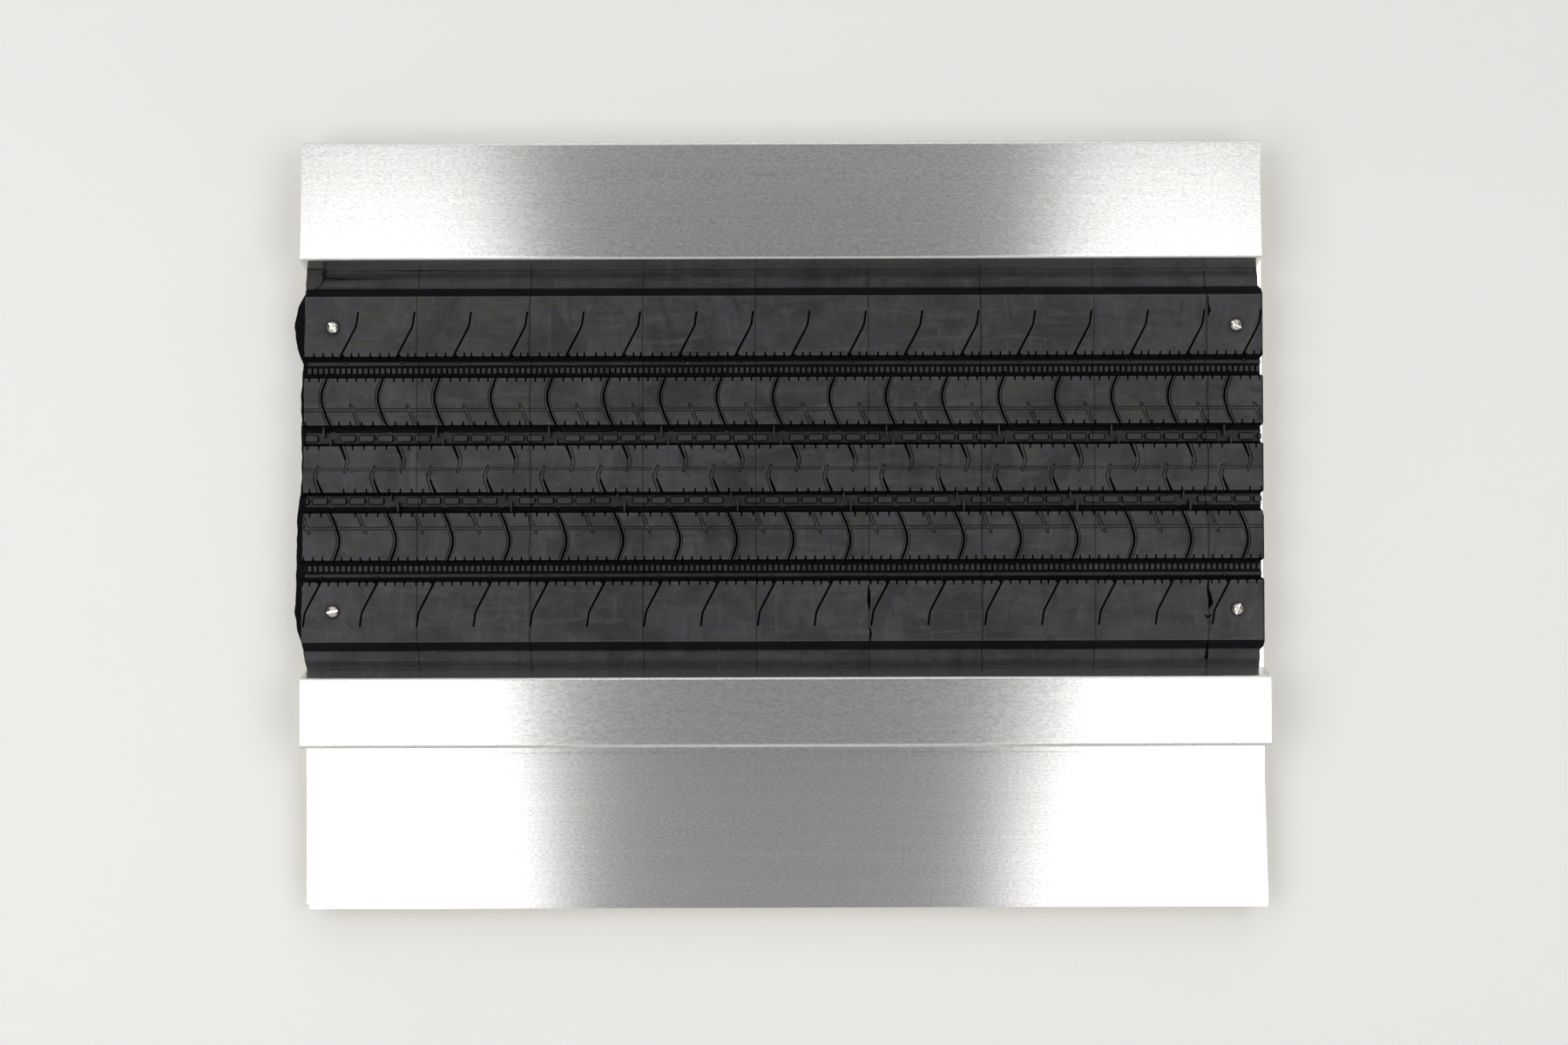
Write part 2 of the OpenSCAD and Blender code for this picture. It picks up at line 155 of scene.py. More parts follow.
# The saw's marks on the left edge, slow and fine waves: rate, start and size
jag = [(chance.uniform(0.2, 0.9), chance.uniform(0, 6.3), chance.uniform(0.02, 0.09)) for _ in range(9)]
jag += [(chance.uniform(1.2, 3.6), chance.uniform(0, 6.3), chance.uniform(0.01, 0.045)) for _ in range(8)]
top_out, top_lean = 0.9, 0.011


def base_left(v):
    """x of the ragged left edge at its base."""
    rough = sum(a * np.sin(f * v + p) for f, p, a in jag)
    return np.interp(v, toe_v, toe_x) + rough


def top_left(v):
    """x of the left end of the rib tops, which leans and waves a little."""
    return rib_left - top_out + top_lean * v + 0.15 * np.sin(v * 0.21) + 0.1 * np.sin(v * 0.83 + 1)


def mitred(points):
    """Unit directions and mitred side vectors along a line of points."""
    p = [Vector(q) for q in points]
    way = [(p[i + 1] - p[i]).normalized() for i in range(len(p) - 1)]
    sides = []
    for i in range(len(p)):
        a = way[max(i - 1, 0)]
        b = way[min(i, len(way) - 1)]
        n = Vector((-a.y - b.y, a.x + b.x)).normalized()
        sides.append(n / max(0.5, n.dot(Vector((-a.y, a.x)))))
    return way, sides


cap_angles = (0.8, 0.0, -0.8)
corner_degrees = (10, 45, 80)
least_radius = 0.08


def trough(points, halves, grow):
    """Closed outline of a groove with round ends along a line, grown by grow."""
    way, sides = mitred(points)
    p = [Vector(q) for q in points]
    left = [p[i] + sides[i] * (halves[i] + grow) for i in range(len(p))]
    right = [p[i] - sides[i] * (halves[i] + grow) for i in range(len(p))]
    start = cap(p[0], -way[0], halves[0] + grow)
    end = cap(p[-1], way[-1], halves[-1] + grow)
    return [tuple(q) for q in left + end + right[::-1] + start]


def cap(point, way, radius):
    side = Vector((-way.y, way.x))
    return [point + radius * (way * math.cos(a) + side * math.sin(a)) for a in cap_angles]


def rounded(cx, cv, length, width, radius, grow):
    """Closed outline of a block with rounded corners."""
    r = max(radius + grow, least_radius)
    hx = length / 2 + grow - r
    hv = width / 2 + grow - r
    out = []
    for sx, sv, start in ((1, 1, 0), (-1, 1, 90), (-1, -1, 180), (1, -1, 270)):
        for a in corner_degrees:
            t = math.radians(start + a)
            out.append((cx + sx * hx + r * math.cos(t), cv + sv * hv + r * math.sin(t)))
    return out


def grown(poly, grow):
    """A convex outline moved outwards by grow."""
    n = len(poly)
    out = []
    for i in range(n):
        a, b, c = Vector(poly[i - 1]), Vector(poly[i]), Vector(poly[(i + 1) % n])
        d1, d2 = (b - a).normalized(), (c - b).normalized()
        n1, n2 = Vector((d1.y, -d1.x)), Vector((d2.y, -d2.x))
        m = (n1 + n2).normalized()
        out.append(tuple(b + m * grow / max(0.4, m.dot(n1))))
    return out


# Constraint lines of the mesh, and the outlines with what each does to the height
lines = []
shapes = []
lip_depth = 0.16


def line(points, closed=True):
    lines.append((points, closed))


def add_cut(shape, level, lip=0.0):
    """A hollow whose outline is shape(grow), down to height level, with a worn lip."""
    line(shape(steep))
    line(shape(-steep))
    if lip:
        line(shape(lip))
        shapes.append(("lip", shape((lip + steep) / 2), lip_depth))
    shapes.append(("cut", shape(0), level))


def add_shallow(shape, level, score=None):
    """A shallow hollow with a scored line along its outline."""
    for grow in (score_half + steep, score_half - steep, steep - score_half, -steep - score_half):
        line(shape(grow))
    shapes.append(("ring", shape(score_half), score or score_floor))
    shapes.append(("fill", shape(-score_half), level))


def add_raise(shape, level, foot=0.1, inset=0.3):
    """A raised block whose outline is shape(grow), up to height level."""
    line(shape(foot))
    line(shape(-inset))
    shapes.append(("raise", shape((foot - inset) / 2), level))


def place(u, v, upper, k, shift):
    """Puts pattern coordinates (u, v) of the upper half in place; the lower half is turned over."""
    x = seam_x + k * pitch
    return (x + u, v) if upper else (x + shift - u, -v)


def moved(points, upper, k, shift):
    return [place(u, v, upper, k, shift) for u, v in points]


# Half-widths of the narrow slit, the stepped sipe, its deep core and the notches at rib edges
slit_half = 0.6
step_half = 1.75
core_half = 0.72
notch_half = 0.5
notch_deep = 2.6
shallow_half = 0.95

slit_floor = 5.5
step_floor = rib_top - 0.7
shallow_floor = rib_top - 0.55
score_half = 0.24
score_floor = rib_top - 1.9
step_score = rib_top - 1.15
notch_floor = 6.5

# Where each sipe runs in one pitch of the upper half; beyond carries it past the rib's edge
pitches = range(-9, 10)
beyond = 2.4
shoulder_line = [(-1.6, 103.6), (-2.2, 99.5), (-2.8, 95.2), (-3.9, 92.6), (-13.4, rib1_in), (-14.5, 72.3)]
main_line = [(15.7, rib2_out + beyond), (14.8, rib2_out), (12.7, 54.5), (11.7, 51.2), (11.3, 47.8),
             (11.4, 45), (12.1, 41.9), (14.4, 35), (17.2, rib2_in), (18.1, rib2_in - beyond)]
half_line = [(-6.5, 42.4), (-4.3, 37.6), (-1.2, rib2_in), (-0.5, rib2_in - beyond)]
centre_line = [(-13.6, rib3_edge + beyond), (-12.0, rib3_edge), (-9.0, 6.6), (-8.7, 4.3), (-10.6, -1.9)]
core_line = [(-14.4, rib3_edge + beyond), (-13.3, rib3_edge), (-9.9, 6.9)]
# The lower half's pattern lags the upper half's, by a different length in each rib
shoulder_lag, second_lag, centre_lag = 2.3, 3.0, 1.5
first_pitch = 8
# A notch from its blind end to its mouth: distance from the rib's edge and extra half-width
notch_steps = (notch_deep - notch_half, 1.3, 0.8, 0.3, 0.0, -0.9, -1.5)
notch_flare = (0, 0, 0.04, 0.18, 0.45, 0.2, 0.1)
outer_notch = -13.4 + 1.2
inner_notch = 17.2 - 2.0
block_foot, block_inset = 0.1, 0.16


def notch(u, edge, upper, k, shift):
    """A short notch in a rib's edge at v = edge, its mouth rounded; edge < 0 cuts downwards."""
    way = 1 if edge > 0 else -1
    v = abs(edge)
    points = [(u, v + way * step) for step in notch_steps]
    halves = [notch_half + flare for flare in notch_flare]
    line_points = moved(points, upper, k, shift)
    add_cut(lambda g: trough(line_points, halves, g), notch_floor)


def small_block(x, v, length, width, level, radius):
    add_raise(lambda g: rounded(x, v, length, width, radius, g), level, block_foot, block_inset)


def tread_shapes():
    for upper in (True, False):
        for k in pitches:
            drift = low_drift * (k + first_pitch)
            s1 = 0.0 if upper else drift - shoulder_lag
            s2 = 0.0 if upper else drift - second_lag
            s3 = 0.0 if upper else drift / 2 - centre_lag
            # Shoulder rib: a narrow sipe with an open corner, and a small ramp below it
            pts = moved(shoulder_line, upper, k, s1)
            add_cut(lambda g, p=pts: trough(p, [slit_half] * 4 + [slit_half + 0.1] * 2, g), slit_floor)
            corner = moved([(-12.3, rib1_in + 2.5), (-13.6, rib1_in - 1.6), (-10.6, rib1_in - 1.4),
                            (-10.3, rib1_in + 0.1)], upper, k, s1)
            add_cut(lambda g, p=corner: grown(p, g), slit_floor + 1)
            ramp = moved([(-11.3, ledge[1] + 1.6), (-12.6, ledge[1] - 0.8), (-10.0, ledge[1] - 0.8)],
                         upper, k, s1)
            add_raise(lambda g, p=ramp: grown(p, g), ledge_h + 1.2, 0.2, 0.35)
            # Second rib: stepped sipe with a deep core, a long shallow groove and a half sipe
            pts = moved(main_line, upper, k, s2)
            widths = ([step_half + 0.6, step_half + 0.1] + [step_half] * 6
                      + [step_half + 0.1, step_half + 0.5])
            add_shallow(lambda g, p=pts, w=widths: trough(p, w, g), step_floor, step_score)
            add_cut(lambda g, p=pts: trough(p, [core_half] * 10, g), slit_floor)
            pts = moved(half_line, upper, k, s2)
            widths = [0.7, shallow_half, shallow_half, shallow_half + 0.5]
            add_shallow(lambda g, p=pts, w=widths: trough(p, w, g), shallow_floor)
            ramp = moved([(18.0, plateau[1] + 2.6), (15.6, plateau[1] - 0.2), (20.4, plateau[1] - 0.2)],
                         upper, k, s2)
            add_raise(lambda g, p=ramp: grown(p, g), plateau_h + 0.5, 0.1, 0.4)
            # Centre rib: a bent shallow sipe with a deep core beside a lit step
            pts = moved(centre_line, upper, k, s3)
            add_shallow(lambda g, p=pts: trough(p, [1.9, 1.5, 1.25, 1.1, 0.6], g), shallow_floor + 0.1)
            pts = moved(core_line, upper, k, s3)
            add_cut(lambda g, p=pts: trough(p, [1.3, 0.95, 0.5], g), slit_floor)
            ramp = moved([(-8.4, plateau[0] - 0.2), (-10.8, plateau[0] + 1.0), (-13.6, plateau[0] - 0.2)],
                         upper, k, s3)
            add_raise(lambda g, p=ramp: grown(p, g), plateau_h + 0.4, 0.1, 0.4)
            # Notches in the rib edges
            for i in range(1, 6):
                u = outer_notch + i * pitch / 6
                if i == 2:
                    u -= 1.5
                notch(u, rib1_in, upper, k, s1)
                notch(15.9 - i * pitch / 6, -rib2_out, upper, k, s2)
            even = (k % 2 == 0) == upper
            for i in range(1, 5):
                if not (even and i == 1):
                    notch(inner_notch - i * pitch / 5 + 0.4, rib2_in, upper, k, s2)
                if not (even and i == 4):
                    notch(-12.4 + i * pitch / 5 - 0.3, -rib3_edge, upper, k, s3)
        shallow_run(upper)
        groove_rows(upper)


run_v = 39.05
mid_half = 0.80


def shallow_run(upper):
    """The long shallow groove of the second rib, and the line along the centre rib."""
    v = run_v if upper else -run_v
    run = [(x, v) for x in (rib_left - past_end, right_end + past_end)]
    add_shallow(lambda g: trough(run, [shallow_half - 0.05] * 2, g), shallow_floor)
    if not upper:
        return
    for k in pitches:
        a = seam_x + k * pitch
        stops = [a - 10.0, a + 8.2 - 1.3, a - 10.0 + pitch]
        for x0, x1 in ((stops[0] + 2.3, stops[1] - 2.0), (stops[1] + 2.0, stops[2] - 2.3)):
            mid = [(x0, 0.0), (x1, 0.0)]
            add_shallow(lambda g, p=mid: trough(p, [mid_half] * 2, g),
                        shallow_floor + 0.2, shallow_floor - 0.3)


# Blocks in the grooves: the small square ones, the long rounded ones, their links and the tie bars
small_long, small_top, small_play, small_round = 2.6, 5.6, 0.15, 0.45
long_v, long_top = 20.75, 6.7
long_size = (9.65, 4.0, 1.1)
long_first, long_half = 22.6, 4.85
long_count = 5
moat_grow, moat_step = 0.64, 0.06
link_size, link_top = (1.3, 0.9), 5.4
tie_wide, tie_round, tie_top = 1.2, 0.3, 9.2
tie_lag = 1.3


def groove_rows(upper):
    """The blocks in the upper or the lower half's two grooves."""
    sign = 1 if upper else -1
    # Small square blocks between the shoulder rib and the second rib
    mid_v = sign * (block_row[0] + block_row[1]) / 2
    step = pitch / 10
    n0 = int((rib_left - 8 - seam_x) / step)
    n1 = int((right_end + 4 - seam_x) / step)
    for n in range(n0, n1 + 1):
        small_block(seam_x + (n + 0.5) * step, mid_v, small_long, block_row[1] - block_row[0],
                    small_top + chance.uniform(-small_play, small_play), small_round)
    # Rounded long blocks beside the centre rib, five for every two pitches, and the tie bars between
    for k in range(-5, 6):
        x0 = seam_x + k * seam_gap
        shift = 0 if upper else low_drift * (2 * k + first_pitch) - tie_lag
        for i in range(long_count):
            u = long_first + i * pitch / 3 + long_half
            x = x0 + u if upper else x0 + shift - u
            v = sign * long_v
            line(rounded(x, v, *long_size, moat_grow + moat_step))
            shapes.append(("moat", rounded(x, v, *long_size, moat_grow), floor_h - 0.3))
            line(rounded(x, v, *long_size, moat_grow - moat_step))
            small_block(x, v, long_size[0], long_size[1], long_top, long_size[2])
            if i < long_count - 1:
                small_block(x + sign * pitch / 6, v, *link_size, link_top, 0.4)
        for u, va, vb in ((11.95, rib2_in - 0.6, 21.3), (16.5, 20.4, rib3_edge + 0.5)):
            x = x0 + u if upper else x0 + shift - 0.6 - u
            mid = sign * (va + vb) / 2
            add_raise(lambda g, x=x, m=mid, w=va - vb: rounded(x, m, tie_wide, w, tie_round, g),
                      tie_top, 0.06, 0.15)


ragged_seams = (-2, 2, 4)
seam_half = 0.2


def seams():
    """Thin mould seams across the whole tread; three of them are ragged."""
    for k in range(-4, 5):
        x0 = seam_x + k * seam_gap
        if not rib_left < x0 < right_end:
            continue
        ragged = k in ragged_seams
        v = -tread_edge - 2
        pts, halves = [], []
        while v < tread_edge + 2:
            pts.append((x0 + chance.uniform(-0.22, 0.22) * (2.2 if ragged else 1), v))
            halves.append(seam_half + chance.uniform(0, 0.12) + (chance.uniform(0, 0.5) if ragged else 0))
            v += chance.uniform(3.0, 7.5)
        line(trough(pts, halves, 0.1))
        line(trough(pts, halves, -0.1))
        shapes.append(("score", trough(pts, halves, 0), 0.7 if ragged else 0.4))


def tears():
    """Torn spots along two of the seams."""
    x = seam_x + seam_gap
    for points, halves in (([(-0.8, -77.5), (-0.2, -82), (-0.3, -88), (0.2, -94)], [0.2, 0.9, 1.2, 0.3]),
                           ([(0.5, -105.5), (0.9, -109.5), (0.4, -114)], [0.3, 0.7, 0.4])):
        spot = [(x + u, v) for u, v in points]
        add_cut(lambda g, p=spot, w=halves: trough(p, w, g), 10.5)
    x = seam_x + 4 * seam_gap
    gap = [(x + 0.1, -74.5), (x - 0.4, -80), (x + 0.7, -85), (x + 1.6, -89.5), (x + 0.6, -93)]
    add_cut(lambda g: trough(gap, [0.5, 0.7, 1.3, 1.5, 0.5], g), 8.5, 0.5)
    sickle = [(x - 2.6, -97.5), (x - 0.6, -99.2), (x + 1.8, -97.6)]
    add_cut(lambda g: trough(sickle, [0.3, 0.7, 0.3], g), 11.5)
    gash = [(x + 0.8, 113), (x + 1.1, 107.5), (x + 1.9, 103.8), (x + 0.9, 100)]
    add_cut(lambda g: trough(gash, [0.3, 0.4, 0.9, 0.3], g), 11)
    notch_low = [(x - 0.4, -126.5), (x + 0.2, -121.5), (x - 0.1, -116)]
    add_cut(lambda g: trough(notch_low, [1.1, 0.8, 0.3], g), 4.4)


# The torn flap: its free edge from the cover down to its tip, and the hollow beside it
flap_edge = [(-305.2, 133.0), (-305.9, 131.6), (-306.6, 130.2), (-306.7, 128.9), (-305.9, 127.9),
             (-306.3, 126.4), (-306.7, 124.6), (-307.8, 122.8), (-310.4, 121.0), (-313.4, 119.4),
             (-315.6, 118.3)]
flap_thick = 1.2
flap_lift = 2.4
flap_wave = 0.35
flap_floor = 3.2
hollow_x, hollow_v, hollow_wide, hollow_tall, hollow_deep = -302.8, 127.0, 8.5, 6.5, 2.0


def flap_shell():
    """A closed curled sheet: points with height, and faces, for the lifted corner."""
    across = 6
    points, faces = [], []
    n = len(flap_edge)
    for i, (far, v) in enumerate(flap_edge):
        t = i / (n - 1)
        near = min(base_left(v) + 0.5, far - 0.8)
        lift = flap_lift * math.sin(math.pi * min(1, 0.12 + t * 0.95)) ** 0.8
        for j in range(across + 1):
            u = j / across
            curl = lift * (0.35 + 0.65 * u ** 1.4) + flap_wave * math.sin(7 * u + 2.4 * t) * (1 - t)
            for side in (0, 1):
                drop = flap_thick * side
                h = wing_top + 0.1 + curl * (1 - 0.25 * side) - drop
                points.append((near + (far - near) * u, v, max(flap_floor, h)))
    row = 2 * (across + 1)
    for i in range(n - 1):
        for j in range(across):
            a, b = i * row + 2 * j, i * row + 2 * j + 2
            faces.append([a, a + row, b + row, b])
            faces.append([a + 1, b + 1, b + 1 + row, a + 1 + row])
        first, last = i * row, i * row + 2 * across
        faces.append([first, first + 1, first + 1 + row, first + row])
        faces.append([last, last + row, last + 1 + row, last + 1])
    for i, turn in ((0, 1), (n - 1, -1)):
        for j in range(across):
            a = i * row + 2 * j
            faces.append([a, a + 2, a + 3, a + 1][::turn])
    return points, faces


# The dip under a screw head: distance from the screw and depth
dip_r = (0, 2.6, 2.7, 4.5, 5.3, 6.4)
dip_depth = (5, 5, 0.55, 0.5, 0.22, 0)


def dimples():
    """Mesh lines for the dip under each screw head."""
    for x, v in screw_spots:
        for r in (2.65, *dip_r[3:]):
            line([(x + r * math.cos(a), v + r * math.sin(a)) for a in
                  [i * math.tau / 20 + r for i in range(20)]])


def in_shape(poly, x, v):
    """Which of the points lie inside an outline."""
    px = np.array([p[0] for p in poly])
    pv = np.array([p[1] for p in poly])
    hit = np.zeros(len(x), bool)
    j = len(poly) - 1
    for i in range(len(poly)):
        if pv[i] != pv[j]:
            cross = (px[j] - px[i]) * (v - pv[i]) / (pv[j] - pv[i]) + px[i]
            hit ^= ((pv[i] > v) != (pv[j] > v)) & (x < cross)
        j = i
    return hit


def select(poly, x, v):
    """Indices of the points inside an outline, tried only near its box."""
    xs = [p[0] for p in poly]
    vs = [p[1] for p in poly]
    near = np.nonzero((x > min(xs)) & (x < max(xs)) & (v > min(vs)) & (v < max(vs)))[0]
    return near[in_shape(poly, x[near], v[near])] if len(near) else near


waves = [(chance.uniform(-0.35, 0.35), chance.uniform(-0.35, 0.35), chance.uniform(0, 6.3))
         for _ in range(26)]


def ripple(x, v):
    """A gentle unevenness of moulded rubber, about a tenth of a millimetre."""
    return sum(np.sin(a * x + b * v + p) * 0.05 / (1 + 6 * math.hypot(a, b)) for a, b, p in waves)


# Tone in the hollows: the cuts, moats and score rings are darker than the tops, partly painted shade in
# the recesses
stage_tone = {"moat": 0.24, "ring": 0.42, "cut": deep_tone}


left_floor = 0.8
end_round, end_slope = 1.5, 0.75


def heights(x, v):
    """Height and tone of the tread's face at the points."""
    body = np.interp(np.abs(v), profile_v, profile_h)
    tone = np.interp(np.abs(v), profile_v, profile_tone)
    own_tone = tone.copy()
    h = body.copy()
    for stage in ("moat", "raise", "lip", "ring", "fill", "cut", "score"):
        for kind, poly, level in shapes:
            if kind != stage:
                continue
            i = select(poly, x, v)
            if kind == "raise":
                h[i] = np.maximum(h[i], level)
                tone[i] = block_tone
            elif kind == "fill":
                h[i] = np.maximum(h[i], np.minimum(level, body[i]))
                tone[i] = own_tone[i] * 0.93
            elif kind == "lip":
                h[i] = np.minimum(h[i], rib_top - level)
            elif kind == "score":
                h[i] -= level
                tone[i] *= 0.55
            else:
                i = i[h[i] > level]
                h[i] = level
                tone[i] = stage_tone[kind]
    # The wing dips where the torn flap has lifted off it, and is painted darker there as the flap's
    # shadow
    reach = np.hypot((x - hollow_x) / hollow_wide, (v - hollow_v) / hollow_tall)
    away = np.clip(1 - reach, 0, 1) ** 0.7
    h -= hollow_deep * away
    tone *= 1 - 0.9 * away
    for sx, sv in screw_spots:
        r = np.hypot(x - sx, v - sv)
        h -= np.interp(r, dip_r, dip_depth) * (r < dip_r[-1])
    # The roughly sawn left end and the rounded right end
    base, top = base_left(v), top_left(v)
    slope = left_floor + (x - base) * (rib_top - left_floor) / np.maximum(top - base, 0.3)
    h = np.where(x < top - 0.25, np.minimum(body, slope), np.minimum(h, slope))
    h = np.minimum(h, rib_top - end_slope * np.maximum(0, x - (right_end - end_round)))
    h += ripple(x, v) * np.clip((x - base) / 4, 0, 1)
    sawn = np.clip((top - x - 0.1) / 0.3, 0, 1)
    tone = tone * (1 - sawn) + sawn * sawn_tone
    tone *= 1 - 0.4 * np.clip((x - right_end + 1.4) / 0.5, 0, 1)
    return np.maximum(h, 0.4), tone


wing_short = 1.8


def right_side(v):
    """x of the right end: the thin wings are cut a little shorter."""
    return right_end - wing_short * np.clip((np.abs(v) - slope_foot + 1.5) / 2, 0, 1)


past_end = 30
end_step = 1.2
border_points = 420
loose_grid = 5.5
weld, least_area = 1e-5, 1e-7


def long_lines():
    """Mesh lines along the ribs and along the two ends."""
    for v, _, _ in profile:
        for sign in ((1, -1) if v else (1,)):
            line([(x, sign * v) for x in (rib_left - past_end, right_end + past_end)], False)
    vs = np.arange(-tread_edge, tread_edge + 1e-6, end_step)
    top, base = top_left(vs), base_left(vs)
    for row in (top, base + 0.35, np.maximum(top - 0.4, base + 0.6)):
        line([(float(x), float(v)) for x, v in zip(row, vs)], False)
    line([(right_end - end_round, -tread_edge), (right_end - end_round, tread_edge)], False)


def tread_mesh():
    """Points, triangles, heights and tones of the tread's face, from one constrained triangulation."""
    tread_shapes()
    seams()
    tears()
    dimples()
    long_lines()
    # The outer boundary, ragged on the left
    vs = np.linspace(-tread_edge, tread_edge, border_points)
    border = [(float(base_left(v)), float(v)) for v in vs]
    border += [(float(right_side(v)), float(v)) for v in vs[::-1]]
    co, edges = [], []
    for points, closed in lines:
        start = len(co)
        co.extend(Vector(p) for p in points)
        edges.extend((start + i, start + i + 1) for i in range(len(points) - 1))
        if closed:
            edges.append((len(co) - 1, start))
    start = len(co)
    co.extend(Vector(p) for p in border)
    edges.extend((start + i, start + i + 1) for i in range(len(border) - 1))
    edges.append((len(co) - 1, start))
    # Loose points carry the gentle unevenness across the rib tops
    for i in range(int((right_end - rib_left) / loose_grid)):
        for j in range(int(2 * tread_edge / loose_grid)):
            co.append(Vector((rib_left + (i + chance.uniform(0.2, 0.8)) * loose_grid,
                              -tread_edge + (j + chance.uniform(0.2, 0.8)) * loose_grid)))
    got = delaunay_2d_cdt(co, edges, [], 0, weld)
    verts, faces = got[0], got[2]
    p = np.array([tuple(q) for q in verts])
    tri = np.array(faces)
    mid = p[tri].mean(axis=1)
    area = np.cross(p[tri[:, 1]] - p[tri[:, 0]], p[tri[:, 2]] - p[tri[:, 0]])
    flip = area < 0
    tri[flip] = tri[flip][:, ::-1]
    keep = in_shape(border, mid[:, 0], mid[:, 1]) & (np.abs(area) > least_area)
    tri = tri[keep]
    used = np.unique(tri)
    index = -np.ones(len(p), int)
    index[used] = np.arange(len(used))
    tri = index[tri]
    p = p[used]
    h, tone = heights(p[:, 0], p[:, 1])
    return p, tri, h, tone


def world_points(x, v, h):
    return np.stack([x * MM, face_y - h * MM, tread_z + v * MM], axis=1)


crease_degrees = 24


def build_tread():
    """The tread as one closed mesh: its face, its rim, its flat back and the torn flap."""
    p, tri, h, tone = tread_mesh()
    n = len(p)
    count = {}
    for a, b, c in tri.tolist():
        for e in ((a, b), (b, c), (c, a)):
            count[e] = count.get(e, 0) + 1
    rim = {a: b for (a, b) in count if (b, a) not in count}
    loop = [next(iter(rim))]
    while rim[loop[-1]] != loop[0]:
        loop.append(rim[loop[-1]])
    low = {q: n + i for i, q in enumerate(loop)}
    faces = tri.tolist()
    for i, a in enumerate(loop):
        b = loop[(i + 1) % len(loop)]
        faces.append([b, a, low[a], low[b]])
    faces.append([low[q] for q in loop][::-1])
    curl, curl_faces = flap_shell()
    first = n + len(loop)
    faces.extend([first + q for q in face] for face in curl_faces)
    top = world_points(p[:, 0], p[:, 1], h)
    under = world_points(p[loop, 0], p[loop, 1], np.full(len(loop), back_h))
    lifted = world_points(*np.array(curl).T)
    mesh = bpy.data.meshes.new("tread_strip")
    mesh.from_pydata(np.concatenate([top, under, lifted]).tolist(), [], faces)
    tone = np.concatenate([tone, np.full(len(loop), deep_tone), np.full(len(curl), flap_tone)])
    torn = np.zeros(len(tone))
    torn[first:] = 1
    for name, data in (("tone", tone), ("torn", torn)):
        layer = mesh.attributes.new(name, "FLOAT", "POINT")
        layer.data.foreach_set("value", data.astype(np.float32))
    cut = [int(tone[face].mean() < cut_tone) for face in faces]
    mesh.polygons.foreach_set("material_index", cut)
    mesh.update()
    for f in mesh.polygons:
        f.use_smooth = True
    mesh.set_sharp_from_angle(angle=math.radians(crease_degrees))
    obj = bpy.data.objects.new("tread_strip", mesh)
    bpy.context.scene.collection.objects.link(obj)
    return obj


# ------------------------------------------------------------------ materials
cool_rubber = (0.0258, 0.0236, 0.0305)
warm_rubber = (0.0290, 0.0280, 0.0225)
dust_and_highlight_rubber = (0.070, 0.067, 0.065)
inky_rubber = (0.0070, 0.0064, 0.0085)
# The deep colours, taken where the tone runs low, are partly painted shade in the walls, floors and
# hollows
deep_rubber = (0.0012, 0.0012, 0.0018)
cut_rubber = (0.0085, 0.0083, 0.0104)
torn_rubber = (0.024, 0.022, 0.019)
scratch_colour = (0.075, 0.072, 0.066)
dust_colour = (0.26, 0.22, 0.17)


